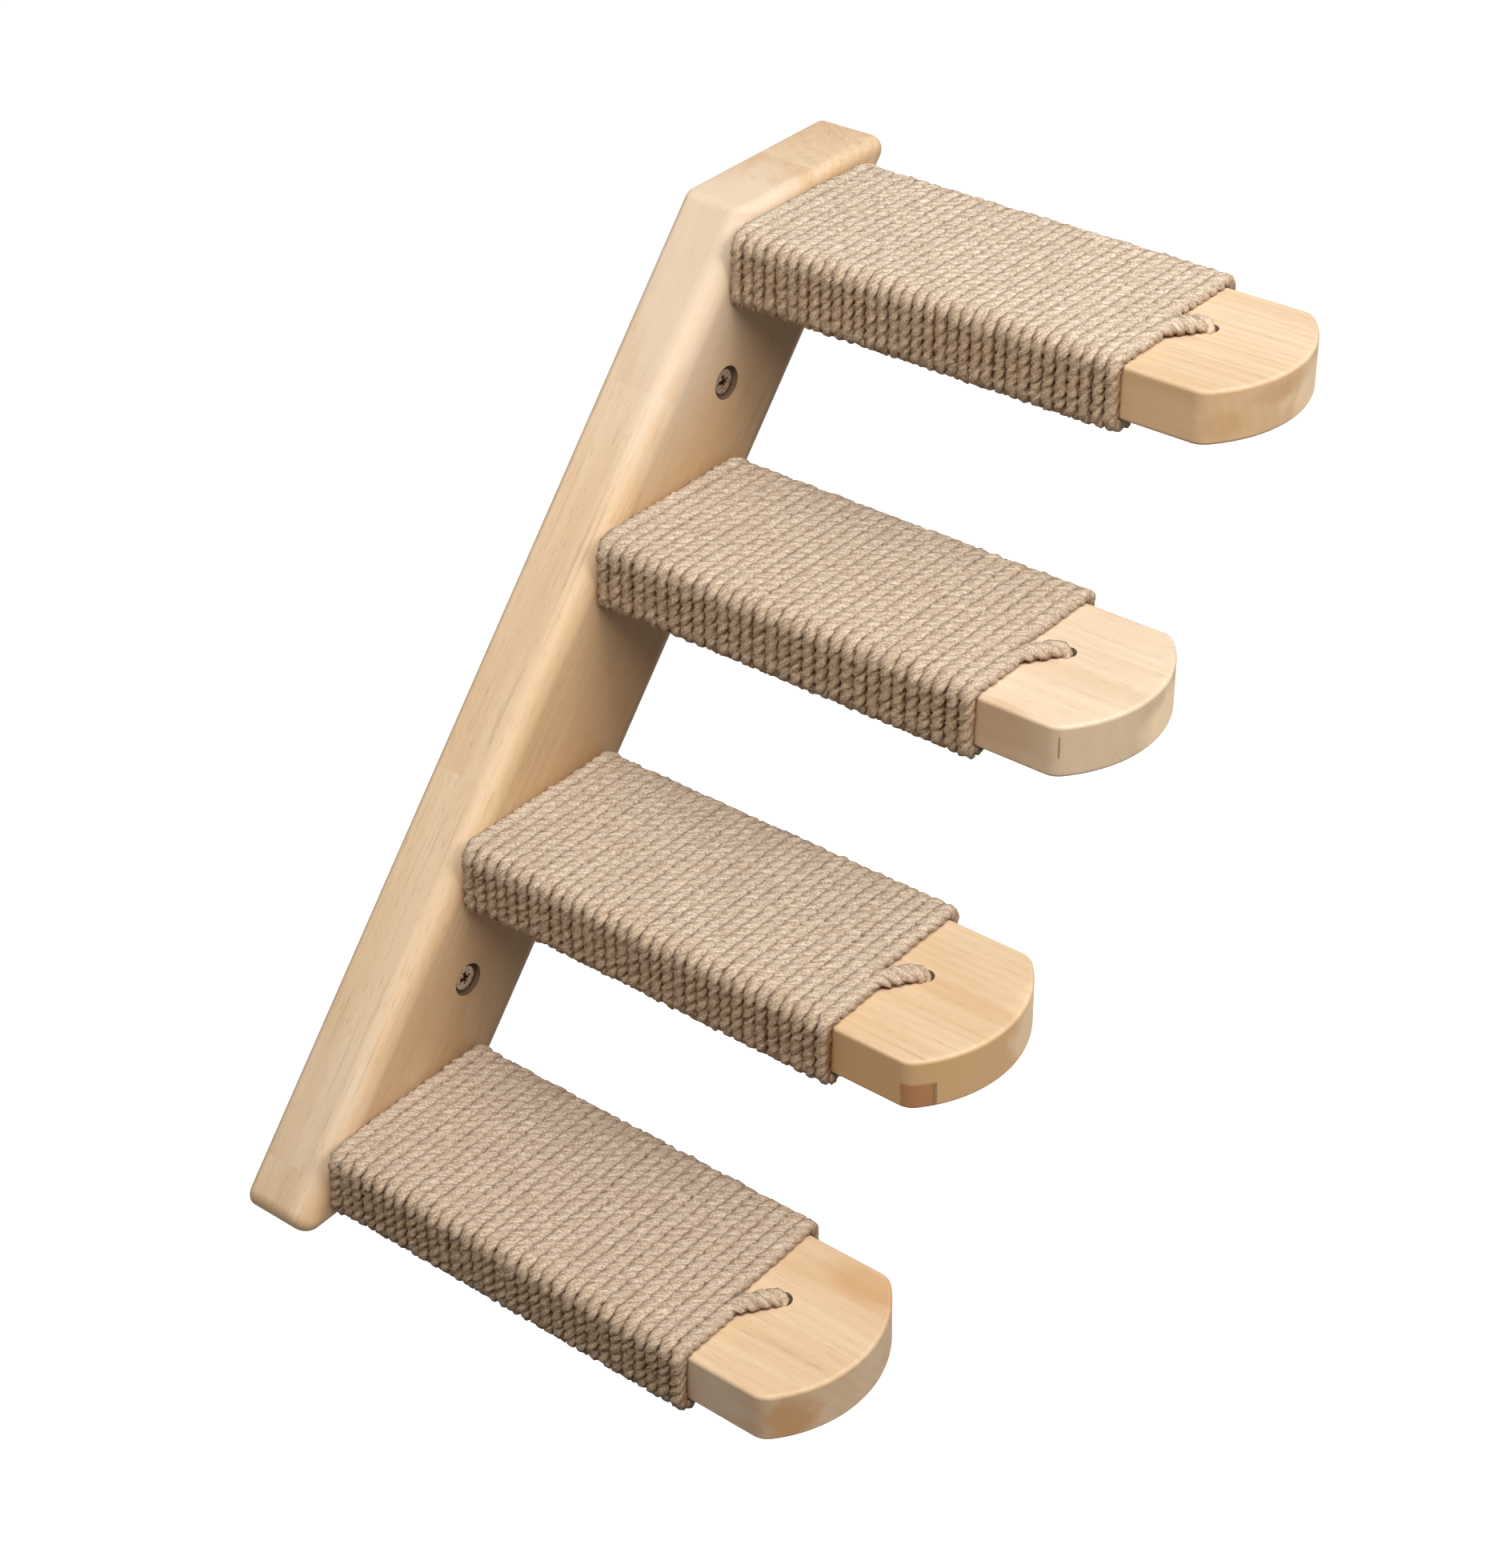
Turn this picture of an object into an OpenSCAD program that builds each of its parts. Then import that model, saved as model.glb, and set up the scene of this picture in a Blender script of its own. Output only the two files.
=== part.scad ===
// Cat wall steps: a slanted wooden wall board carries four level steps, each wound with rope.
// Millimetres. The origin is the middle of the board's back face, which lies on the wall.
// +Z is up, +X is to the right as seen from the room, and the steps reach out along -Y.

/* [Wall board] */
// Length of the board along its slant
board_len = 400; // [320:5:600]
// Width of the board, square to its length
board_w = 68; // [50:1:90]
// Thickness of the board, from the wall to its front face
board_t = 29; // [20:0.5:40]
// Lean of the board away from upright, in degrees
lean = 42; // [25:1:50]
// Angle of the board's end cuts, off square, in degrees
end_cut = 42; // [20:0.5:50]
// Rounding of the board's four long edges
board_edge_r = 7; // [2:0.5:9]
// Rounding of the board's four corners, seen from the room
board_corner_r = 6.5; // [2:0.5:12]
// Rounding of the front edges of the board's two ends
board_end_r = 4; // [1:0.5:9]

/* [Steps] */
// Length of a step, from the board's front face to the tip
step_len = 205; // [160:1:260]
// Width of a step's plank
plank_w = 70; // [50:1:90]
// Thickness of a step's plank
plank_t = 20; // [16:0.5:30]
// How far the curved tip bulges past its two corners
tip_bulge = 15.5; // [6:0.5:24]
// Rounding of the plank's edges
plank_edge_r = 1.2; // [0.6:0.1:3]
// From the board's lower end to the middle of the lowest step, along the slant
first_step = 24; // [21:0.5:50]
// From the middle of the highest step to the board's upper end, along the slant
last_step = 25.5; // [18:0.5:50]
// Sideways place of the steps, to the right of the board's centre line
step_shift = 0; // [-12:0.5:12]

/* [Rope] */
// Thickness of the rope
rope_d = 4; // [3:0.1:6]
// Number of loops drawn round each step
loops = 21; // [12:1:24]
// Gap between neighbouring loops
loop_gap = 0.5; // [0.45:0.05:1]
// Room between the rope and the wood under it
rope_clear = 0.3; // [0.2:0.05:0.6]
// Length of bare plank in front of the winding
bare_tip = 45; // [36:1:60]
// Where the rope begins on the underside, to the right of the step's middle
rope_start_x = 16; // [0:1:18]
// Where the last turn leaves the others, to the left of the step's middle
tail_turn_x = 13; // [8:1:18]
// Sideways place of the tail's hole, to the right of the step's middle
tail_hole_x = 3; // [-2:0.5:10]
// From the winding to the rim of the tail's hole
tail_hole_out = 5; // [2:0.1:8]
// Room between the tail and its hole, all round
tail_room = 0.8; // [0.6:0.1:1.5]
// How far short of the plank's underside the tail ends
tail_short = 1.5; // [0.5:0.1:4]

/* [Wall screws] */
// Diameter of a wall screw's smooth shank
wall_shank_d = 4; // [3:0.1:5]
// Diameter over a wall screw's thread, behind the board
wall_thread_d = 5; // [4:0.1:6]
// Diameter of a wall screw's head
wall_head_d = 9.6; // [8:0.1:12]
// How deep a wall screw's head sits below the board's face
wall_head_sink = 1.5; // [0.5:0.1:3]
// How far a wall screw stands out behind the board
wall_screw_out = 12.5; // [10:0.5:50]
// Sideways place of the lower wall screw, to the right of the board's centre line
lower_screw_shift = -2.5; // [-12:0.5:12]
// How far the upper wall screw sits above the middle of its gap, along the slant
upper_screw_rise = 1.5; // [-6:0.5:6]
// Sideways place of the upper wall screw, to the right of the board's centre line
upper_screw_shift = -5; // [-12:0.5:12]
// Width of the arms of the cross in a screw's head
cross_w = 1.3; // [0.8:0.1:2]
// Span of the cross in a screw's head
cross_span = 5; // [3:0.1:6]
// Depth of the cross in a screw's head
cross_depth = 2.2; // [1:0.1:3]

/* [Step screws] */
// Diameter of a step screw
step_shank_d = 4; // [3:0.1:5]
// Diameter of a step screw's head
step_head_d = 8; // [7:0.1:9]
// Length of a step screw
step_screw_len = 55; // [48:1:70]
// How deep a step screw's head sits below the board's back
step_head_sink = 0.6; // [0.3:0.1:2]
// Distance between the two screws of a step
step_screw_gap = 36; // [20:1:40]
// Room between a screw and the hole that it passes through
screw_room = 0.3; // [0.2:0.05:0.6]
// Room between a screw and the wood that it bites into
bite_room = 0.05; // [0.03:0.01:0.1]
// Room between a screw's head and its seat
seat_room = 0.15; // [0.1:0.05:0.3]

/* [Hidden] */

WOOD = [0.87, 0.72, 0.53];
PLANK_WOOD = [0.89, 0.75, 0.57];
ROPE = [0.76, 0.66, 0.53];
STEEL = [0.72, 0.71, 0.68];
ZINC = [0.80, 0.76, 0.62];

step_count = 4;
cut_over = 1;
LEFT = -1;
RIGHT = 1;

// Places along the slant are measured from the board's middle and grow upwards.
end_tilt = lean - end_cut;
between_ends = board_len*cos(end_cut);
step_pitch = (board_len - first_step - last_step)/(step_count - 1);
function step_at(i) = first_step - board_len/2 + i*step_pitch;
function gap_at(i) = step_at(i) + step_pitch/2;
function along_slant(s) = [s*sin(lean), 0, s*cos(lean)];

// A step reaches from the wall through the board's thickness to its tip. The tip is an arc
// through the plank's two corners and its foremost point.
reach = board_t + step_len;
tip_r = (tip_bulge^2 + (plank_w/2)^2)/(2*tip_bulge);

// The rope's centre line runs round the plank, clear of the wood, and has a short slanting
// side across each corner, so eight sides make one loop.
rope_r = rope_d/2;
rope_lie = rope_clear + rope_r;
half_x = plank_w/2 + rope_lie;
half_z = plank_t/2 + rope_lie;
corner_cut = (plank_edge_r + rope_lie)*(1 - tan(22.5));
flat_x = half_x - corner_cut;
flat_z = half_z - corner_cut;
loop_corners = [
    [-half_x, -flat_z], [-half_x, flat_z], [-flat_x, half_z], [flat_x, half_z],
    [half_x, flat_z], [half_x, -flat_z], [flat_x, -half_z], [-flat_x, -half_z]
];
sides = len(loop_corners);
function side_len(j) = norm(loop_corners[(j + 1) % sides] - loop_corners[j]);
function way_to(j) = j == 0 ? 0 : way_to(j - 1) + side_len(j - 1);
girth = way_to(sides);

// The winding fills the plank from the board's face to the bare tip. One turn is one girth.
wound_from = board_t + rope_clear;
wound_to = reach - bare_tip;
start_turns = (side_len(sides - 1) + flat_x + rope_start_x)/girth;
strand_pitch = (wound_to - wound_from + loop_gap)/(loops + start_turns + 1);
strand_w = strand_pitch - loop_gap;
function strand_y(turns) = -(wound_from + strand_w/2 + strand_pitch*(start_turns + turns));

// The tail runs level over the plank's top, then bends down into its hole.
tail_hole_r = rope_r + tail_room;
tail_hole_y = -(wound_to + tail_hole_out + tail_hole_r);
tail_bend_r = tail_hole_r;
tail_turns = loops + (way_to(2) + flat_x - tail_turn_x)/girth;
tail_from = [-tail_turn_x, strand_y(tail_turns)];
tail_hole = [tail_hole_x, tail_hole_y];
tail_dir = (tail_hole - tail_from)/norm(tail_hole - tail_from);
tail_swing = atan2(-tail_dir.y, tail_dir.x);
tail_end_z = -plank_t/2 + tail_short;
bend_steps = 3;

// A ring of the rope: its centre, its way out from the plank, its way along the winding and
// half its width. Six points stand round the centre.
function ring(c, out, side, half_w) = [
    for (p = [[1, 0.5], [0, 1], [-1, 0.5], [-1, -0.5], [0, -1], [1, -0.5]])
        c + p[0]*out + p[1]*half_w*side
];
ring_points = 6;

// The out direction at a corner of a loop, made longer so that the rope keeps its thickness.
function corner_out(j) =
    let (a = 202.5 - 45*j, k = rope_r/cos(22.5))
    [k*cos(a), 0, k*sin(a)];
function corner_ring(k, j) =
    let (p = loop_corners[j], y = strand_y(k + way_to(j)/girth))
    ring([p.x, y, p.y], corner_out(j), [0, -1, 0], strand_w/2);

// The rope starts on the underside, cut off square.
start_ring = ring([rope_start_x, strand_y(-start_turns), -half_z], [0, 0, -rope_r], [0, -1, 0], strand_w/2);
winding_rings = [
    start_ring,
    corner_ring(-1, sides - 1),
    for (k = [0:loops - 1]) for (j = [0:sides - 1]) corner_ring(k, j),
    for (j = [0:2]) corner_ring(loops, j)
];
function level_side(a) = [-sin(a), -cos(a), 0];
tail_turn_ring = ring(
    [tail_from.x, tail_from.y, half_z], [0, 0, rope_r],
    level_side(tail_swing/2)/cos(tail_swing/2), rope_r
);
function bend_ring(a) =
    let (
        back = tail_bend_r*(1 - sin(a)),
        c = [tail_hole.x - back*tail_dir.x, tail_hole.y - back*tail_dir.y, half_z - tail_bend_r*(1 - cos(a))],
        out = [sin(a)*tail_dir.x, sin(a)*tail_dir.y, cos(a)]
    )
    ring(c, rope_r*out, level_side(tail_swing), rope_r);
end_ring = ring(
    [tail_hole.x, tail_hole.y, tail_end_z], [rope_r*tail_dir.x, rope_r*tail_dir.y, 0],
    level_side(tail_swing), rope_r
);
rope_rings = [
    each winding_rings,
    tail_turn_ring,
    for (i = [0:bend_steps]) bend_ring(90*i/bend_steps),
    end_ring
];

// The least gap of the rope to itself: each point of a ring against the edges of the rope
// that pass it about one loop later.
function point_to_edge(p, a, b) =
    let (t = max(0, min(1, (p - a)*(b - a)/((b - a)*(b - a)))))
    norm(p - a - t*(b - a));
last_ring = len(rope_rings) - 1;
rope_self_gap = min([
    for (i = [0:last_ring - sides + 2])
        for (j = [i + sides - 2:min(i + sides + 2, last_ring - 1)])
            for (p = rope_rings[i])
                for (q = [0:ring_points - 1])
                    point_to_edge(p, rope_rings[j][q], rope_rings[j + 1][q])
]);
echo(str("least gap of the rope to itself: ", rope_self_gap, " mm"));

module rounded_bar(w, t, r) {
    square([w - 2*r, t], center = true);
    square([w, t - 2*r], center = true);
    for (x = [-1, 1], y = [-1, 1])
        translate([x*(w/2 - r), y*(t/2 - r)])
            circle(r, $fn = 32);
}

// A countersunk head that points along +Z, with its top at 0. Its seat in the wood has room
// round the head, and opens out at the same slope above it.
module head_cone(head_d, shank_d, room = 0, above = 0) {
    head_r = head_d/2 + room;
    shank_r = shank_d/2 + room;
    translate([0, 0, -above])
        cylinder(h = head_r - shank_r + above, r1 = head_r + above, r2 = shank_r, $fn = 32);
}

module screw(head_d, shank_d, thread_d, thread_from, length) {
    point_h = thread_d;
    point_r = thread_d/8;
    difference() {
        union() {
            head_cone(head_d, shank_d);
            cylinder(h = thread_from + cut_over, d = shank_d, $fn = 32);
            translate([0, 0, thread_from])
                cylinder(h = length - thread_from - point_h, d = thread_d, $fn = 32);
            translate([0, 0, length - point_h])
                cylinder(h = point_h, r1 = thread_d/2, r2 = point_r, $fn = 32);
        }
        for (a = [0, 90])
            rotate([0, 0, a])
                translate([-cross_span/2, -cross_w/2, -cut_over])
                    cube([cross_span, cross_w, cross_depth + cut_over]);
    }
}

module at_wall_screw(place) {
    translate(place + [0, wall_head_sink - board_t, 0])
        rotate([-90, 0, 0])
            children();
}

module at_step_screw(side) {
    translate([side*step_screw_gap/2, -step_head_sink, 0])
        rotate([90, 0, 0])
            children();
}

module at_step(i) {
    translate(along_slant(step_at(i)) + [step_shift, 0, 0])
        children();
}

lower_screw_place = along_slant(gap_at(0)) + [lower_screw_shift, 0, 0];
upper_screw_place = along_slant(gap_at(step_count - 2) + upper_screw_rise) + [upper_screw_shift, 0, 0];

// The board as seen from the room: a slanting strip between its two ends, with round corners.
module board_outline() {
    offset(r = board_corner_r, $fn = 48)
        offset(delta = -board_corner_r)
            intersection() {
                rotate(-lean)
                    square([board_w, 2*board_len], center = true);
                rotate(-end_tilt)
                    square([2*board_len, between_ends], center = true);
            }
}

module wall_board() {
    difference() {
        intersection() {
            rotate([0, lean, 0])
                translate([0, -board_t/2, -board_len])
                    linear_extrude(height = 2*board_len)
                        rounded_bar(board_w, board_t, board_edge_r);
            translate([0, cut_over, 0])
                rotate([90, 0, 0])
                    linear_extrude(height = board_t + 2*cut_over)
                        board_outline();
            rotate([0, end_tilt, 0])
                translate([-board_len, 0, 0])
                    rotate([90, 0, 90])
                        linear_extrude(height = 2*board_len)
                            rounded_bar(2*board_t, between_ends, board_end_r);
        }
        for (place = [lower_screw_place, upper_screw_place])
            at_wall_screw(place) {
                head_cone(wall_head_d, wall_shank_d, seat_room, wall_head_sink + cut_over);
                translate([0, 0, -cut_over])
                    cylinder(h = board_t + 2*cut_over, d = wall_thread_d + 2*screw_room, $fn = 32);
            }
        for (i = [0:step_count - 1], side = [LEFT, RIGHT])
            at_step(i)
                at_step_screw(side) {
                    head_cone(step_head_d, step_shank_d, seat_room, step_head_sink + cut_over);
                    translate([0, 0, -cut_over])
                        cylinder(h = board_t + 2*cut_over, d = step_shank_d + 2*screw_room, $fn = 32);
                }
    }
}

// A disc with rounded rims, whose front part is the plank's curved tip.
module tip_disc() {
    rotate_extrude($fn = 120) {
        translate([0, -plank_t/2])
            square([tip_r - plank_edge_r, plank_t]);
        translate([0, plank_edge_r - plank_t/2])
            square([tip_r, plank_t - 2*plank_edge_r]);
        for (z = [-1, 1])
            translate([tip_r - plank_edge_r, z*(plank_t/2 - plank_edge_r)])
                circle(plank_edge_r, $fn = 24);
    }
}

// A plank lies with its middle height at z = 0 and its back end on the board's face.
module plank() {
    straight = reach - tip_bulge - 2*plank_edge_r - board_t;
    difference() {
        intersection() {
            translate([0, -board_t, 0])
                rotate([90, 0, 0])
                    linear_extrude(height = reach - board_t + cut_over)
                        rounded_bar(plank_w, plank_t, plank_edge_r);
            union() {
                translate([0, tip_r - reach, 0])
                    tip_disc();
                translate([-plank_w, -board_t - straight, -plank_t])
                    cube([2*plank_w, straight + cut_over, 2*plank_t]);
            }
        }
        translate([tail_hole.x, tail_hole.y, -plank_t])
            cylinder(h = 2*plank_t, r = tail_hole_r, $fn = 32);
        for (side = [LEFT, RIGHT])
            at_step_screw(side)
                cylinder(h = step_screw_len + bite_room, d = step_shank_d + 2*bite_room, $fn = 32);
    }
}

module rope() {
    n = ring_points;
    polyhedron(
        points = [for (r = rope_rings) each r],
        faces = [
            for (q = [1:n - 2]) [0, q, q + 1],
            for (i = [0:last_ring - 1])
                for (q = [0:n - 1])
                    let (a = i*n + q, b = i*n + (q + 1) % n)
                    each [[a, a + n, b], [b, a + n, b + n]],
            for (q = [1:n - 2]) [last_ring*n, last_ring*n + q + 1, last_ring*n + q]
        ]
    );
}

module step_screw(i, side) {
    at_step(i)
        at_step_screw(side)
            screw(step_head_d, step_shank_d, step_shank_d, board_t/2, step_screw_len);
}

module wall_screw(place) {
    at_wall_screw(place)
        screw(
            wall_head_d, wall_shank_d, wall_thread_d,
            board_t - wall_head_sink, board_t - wall_head_sink + wall_screw_out
        );
}

module backboard() color(WOOD) wall_board();
module step_plank_1() color(PLANK_WOOD) at_step(0) plank();
module step_plank_2() color(PLANK_WOOD) at_step(1) plank();
module step_plank_3() color(PLANK_WOOD) at_step(2) plank();
module step_plank_4() color(PLANK_WOOD) at_step(3) plank();
module rope_winding_1() color(ROPE) at_step(0) rope();
module rope_winding_2() color(ROPE) at_step(1) rope();
module rope_winding_3() color(ROPE) at_step(2) rope();
module rope_winding_4() color(ROPE) at_step(3) rope();
module step_screw_1_left() color(ZINC) step_screw(0, LEFT);
module step_screw_1_right() color(ZINC) step_screw(0, RIGHT);
module step_screw_2_left() color(ZINC) step_screw(1, LEFT);
module step_screw_2_right() color(ZINC) step_screw(1, RIGHT);
module step_screw_3_left() color(ZINC) step_screw(2, LEFT);
module step_screw_3_right() color(ZINC) step_screw(2, RIGHT);
module step_screw_4_left() color(ZINC) step_screw(3, LEFT);
module step_screw_4_right() color(ZINC) step_screw(3, RIGHT);
module wall_screw_lower() color(STEEL) wall_screw(lower_screw_place);
module wall_screw_upper() color(STEEL) wall_screw(upper_screw_place);

backboard();
step_plank_1();
step_plank_2();
step_plank_3();
step_plank_4();
rope_winding_1();
rope_winding_2();
rope_winding_3();
rope_winding_4();
step_screw_1_left();
step_screw_1_right();
step_screw_2_left();
step_screw_2_right();
step_screw_3_left();
step_screw_3_right();
step_screw_4_left();
step_screw_4_right();
wall_screw_lower();
wall_screw_upper();
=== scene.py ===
import math

import bpy
import numpy as np
from mathutils import Matrix, Quaternion, Vector


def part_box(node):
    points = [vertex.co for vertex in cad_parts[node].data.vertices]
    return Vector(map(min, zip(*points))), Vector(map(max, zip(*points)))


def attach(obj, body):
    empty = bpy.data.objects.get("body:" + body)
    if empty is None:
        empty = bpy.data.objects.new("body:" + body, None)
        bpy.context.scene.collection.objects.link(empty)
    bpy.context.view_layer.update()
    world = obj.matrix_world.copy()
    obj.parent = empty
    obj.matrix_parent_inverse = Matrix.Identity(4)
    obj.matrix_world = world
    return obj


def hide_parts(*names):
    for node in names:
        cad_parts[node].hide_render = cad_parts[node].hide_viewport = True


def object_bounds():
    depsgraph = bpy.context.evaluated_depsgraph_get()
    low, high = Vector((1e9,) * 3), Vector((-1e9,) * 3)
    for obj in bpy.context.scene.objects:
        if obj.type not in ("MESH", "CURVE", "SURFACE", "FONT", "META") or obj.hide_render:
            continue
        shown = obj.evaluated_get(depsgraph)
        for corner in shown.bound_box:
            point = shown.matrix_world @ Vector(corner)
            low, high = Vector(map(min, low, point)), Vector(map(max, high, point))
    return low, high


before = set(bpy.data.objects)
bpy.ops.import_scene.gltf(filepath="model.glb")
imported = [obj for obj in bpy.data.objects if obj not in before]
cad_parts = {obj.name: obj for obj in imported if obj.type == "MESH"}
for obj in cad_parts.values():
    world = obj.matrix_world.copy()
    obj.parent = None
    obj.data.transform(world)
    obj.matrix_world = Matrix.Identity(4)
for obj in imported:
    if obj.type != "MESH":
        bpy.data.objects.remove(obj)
cad_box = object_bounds()

# Cat wall steps: a slanting wall board that carries four planks wound with jute rope. Lengths
# are in metres, in the part's own frame: the wall is y = 0, the steps reach out along -Y, and
# +Z is up. Step 1 is the lowest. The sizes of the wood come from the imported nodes.
MM = 0.001
STEPS = (1, 2, 3, 4)
STEP_BOXES = {i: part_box(f"step_plank_{i}") for i in STEPS}
STEP_LENGTH = STEP_BOXES[1][1].y - STEP_BOXES[1][0].y
WALL_SCREWS = ("wall_screw_lower", "wall_screw_upper")

# The camera that fits the object's straight edges in the photograph.
PHOTO_HEIGHT = 1960
CAMERA_AZIMUTH = math.radians(-50.739)
CAMERA_ELEVATION = math.radians(35.127)
CAMERA_ROLL = math.radians(-1.3605)
CAMERA_FOCAL_PIXELS = 3842.2
CAMERA_PLACE = Vector((-0.68479, -0.65651, 0.60373))
CAMERA_SENSOR = 36
CAMERA_NEAR = 0.05

# The board. Each pair of radii is for its long edges and for its ends.
LEAN = math.radians(42)
BOARD_HALF_W = 34*MM
BOARD_CORNER_R = 6.5*MM
BOARD_LEAST_CORNER_R = 0.6*MM
BOARD_FRONT_R = (8.5*MM, 5.0*MM)
BOARD_BACK_R = (3.0*MM, 1.5*MM)

# The planks' bare tips: a shallow arc between two rounded corners, with soft edges.
BARE_TIP = 45*MM
TIP_BULGE = 15.5*MM
TIP_CORNER_R = 8.0*MM
PLANK_EDGE_R = 1.5*MM

# The drilled holes, as radii and depths below the surface in mm.
WALL_SEAT = ((6.4, -1), (6.4, 1.9), (4.95, 1.9), (2.15, 4.7), (2.15, 40))
STEP_SEAT = ((4.75, -1), (4.75, 0.6), (2.15, 3.2), (2.15, 40))
TAIL_SEAT = ((3.6, -1), (3.6, 12))

# The wall screws. The flanks of the cross and of the thread are sloping.
SHANK_R = 2.0*MM
THREAD_R = 2.5*MM
THREAD_CORE_R = 0.68*THREAD_R
THREAD_PITCH = 2.2*MM
THREAD_HALF_RIDGE = 0.26
THREAD_STARTS = 0.42
THREAD_RUNS_IN = 0.2*MM
POINT_LENGTH = 2*THREAD_R
POINT_CORE = 0.04
POINT_RIDGE = 0.02
HEAD_MIDDLE_R = 0.15*MM
HEAD_FLAT_EDGE = 0.2*MM
HEAD_RIM = 0.35*MM
CROSS_HALF = 0.65*MM
CROSS_REACH = 2.5*MM
CROSS_DEPTH = 2.0*MM
CROSS_SIDE_SLOPE = 0.25*MM
CROSS_END_SLOPE = 0.5*MM
CROSS_RISES = 0.25

# How many points draw each kind of round shape, and how many radii from a face its edge ends.
BOARD_CORNER_POINTS = 13
EDGE_POINTS = 9
EDGE_HELD_AT = 1.12
TIP_POINTS = 72
TIP_CORNER_POINTS = 10
HOLE_POINTS = 40
SCREW_POINTS = 64
HEAD_RINGS = 26
THREAD_RINGS = 120
TAIL_OVER_POINTS = 40
TAIL_BEND_POINTS = 9
TAIL_DOWN_POINTS = 10

# The rope: three strands laid right-handed, wound closely from the board to the bare tip. It
# begins on the underside, some of a turn early, and the first turns pile up against the board.
ROPE_SEED = 40
ROPE_R = 2.45*MM
ROPE_TURNS = {1: 31, 2: 32, 3: 30, 4: 33}
ROPE_CORNER_R = 4.0*MM
ROPE_RING_GAP = 1.02*MM
ROPE_EARLY = 0.4
ROPE_WANDER = 0.25*MM
ROPE_LIFT = 0.12*MM
ROPE_PILE = 0.9*MM
PILE_TURNS = 1.3
STRANDS = 3
STRAND_POINTS = 5
STRAND_R = 0.66*ROPE_R
ROPE_LAY = 13.5*MM
LAY_DRIFT = 1.6
LAY_JITTER = 0.35

# The turns press one another to rounded squares, of these powers. The rope is a little wider on
# the steps' tops, uneven everywhere, and its strands are worn smooth by shares of their relief.
SQUARE_ON_TOP = {1: 4.5, 2: 5.0, 3: 5.5, 4: 6.5}
SQUARE_BESIDE = 3.0
WIDER_ON_TOP = 0.08
WIDTH_VARIES = 0.05
LUMPS = 0.05
ROUGHNESS = 0.06
STRANDS_WORN = 0.12
STRANDS_WORN_BESIDE = 0.22
BLEND_RINGS = 6

# The painted shade in the gaps between turns: below which height on the rope it begins, over what
# height it deepens, how dark it is and how unevenly, how much of it is hidden on top, and how much
# painted shade there is everywhere beside the step. Worn strands lose this share of their groove shade.
GAP_BEGINS = 0.62
GAP_DEEPENS = 0.5
GAP_DARK = 0.5
GAP_UNEVEN = 0.4
GAP_HIDDEN_ON_TOP = 0.8
GAP_SHADE_BESIDE = 0.10
GROOVE_WORN = 0.8

# Over how many of the rope's rings each of its random changes runs.
RINGS = {"wander": 45, "lift": 35, "drift": 90, "jitter": 14, "width": 50, "lumps": 4, "gap": 60}

# The rope's tail: where it leaves the last turn, how it heads for its hole and bends down into
# it, and how much it swells where nothing presses it.
TAIL_LEAVES_X = -13*MM
TAIL_HOLE_X = 3*MM
TAIL_HOLE_OUT = 7.8*MM
TAIL_VEER = 0.1
TAIL_HANDLES = (0.2, 0.3)
TAIL_ARCH = 0.5*MM
TAIL_BEND_R = 2.9*MM
TAIL_DOWN = 9*MM
TAIL_FULLER = 1.38
TAIL_SWELLS = 5
TAIL_THINS = 1.6

# The studio: three round lamps with a name, a place and a power, a sky that grows from the
# front to the back, and a floor.
LAMP_AIM = Vector((0, -0.1, 0))
LAMP_WIDTH = 0.8
LAMPS = (
    ("key", (-0.72, -0.45, 1.47), 27.5),
    ("front", (0.1, -1.5, 1.3), 25),
    ("right", (0.9, -1.3, 1.7), 7),
)
WHITE = (1, 1, 1, 1)
SKY_FRONT = (0, 0, 0, 1)
SKY_BEHIND = (0.09, 0.08, 0.07, 1)
SKY_GROWS = (-0.1, 0.4)
FLOOR_DROP = 0.75
FLOOR_HALF = 6.0
FLOOR_SEEN = (0.8, 0.8, 0.8, 1)
FLOOR_UNSEEN = (0.10, 0.08, 0.06, 1)
FLOOR_GLOW = 0.9

# Colours of the wood, from its lightest to the painted shade in its drilled holes.
PALE = (0.655, 0.502, 0.338, 1)
MID = (0.568, 0.394, 0.235, 1)
CREAM = (0.681, 0.577, 0.451, 1)
# The bright colour serves pale streaks in the grain, and painted light on the right-hand parts of the tips'
# arcs.
BRIGHT_GRAIN_AND_LIGHT = (0.90, 0.67, 0.43, 1)
TAN = (0.503, 0.311, 0.163, 1)
# The colour of upright faces: partly their grain, and partly painted shade.
SIDE_GRAIN_AND_SHADE = (0.56, 0.34, 0.16, 1)
ORANGE = (0.459, 0.244, 0.0962, 1)
KNOT = (0.34, 0.135, 0.045, 1)
DARK = (0.207, 0.104, 0.0444, 1)
# Painted shade on the walls of the drilled holes.
HOLE_SHADE = (0.13, 0.07, 0.035, 1)
HOLE_DEEP_SHADE = (0.05, 0.025, 0.012, 1)

# Colours of the rope. Painted shade multiplies them beside the steps, and painted light and shade on top of
# each step.
ROPE_PALE = (0.735, 0.605, 0.458, 1)
ROPE_DARK = (0.345, 0.235, 0.150, 1)
ROPE_GREY = (0.459, 0.348, 0.244, 1)
# Painted shade in the grooves between strands.
ROPE_GROOVE_SHADE = (0.32, 0.205, 0.12, 1)
# Painted shade in the gaps between turns.
ROPE_GAP_SHADE = (0.24, 0.115, 0.045, 1)
ROPE_SIDE_SHADE = (1.0, 0.90, 0.78, 1)
# Painted light and shade on each step's top: step 1 darker, step 4 lighter.
ROPE_TOP_LIGHT_AND_SHADE = {
    1: (0.97, 0.95, 0.96, 1), 2: (1, 1, 1.02, 1), 3: (1, 1, 1.02, 1), 4: (1.08, 1.11, 1.15, 1),
}

# Colours of the metals. Wear darkens them to this share.
STEEL = (0.22, 0.14, 0.09, 1)
ZINC = (0.72, 0.60, 0.34, 1)
METAL_WORN = 0.45

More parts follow.
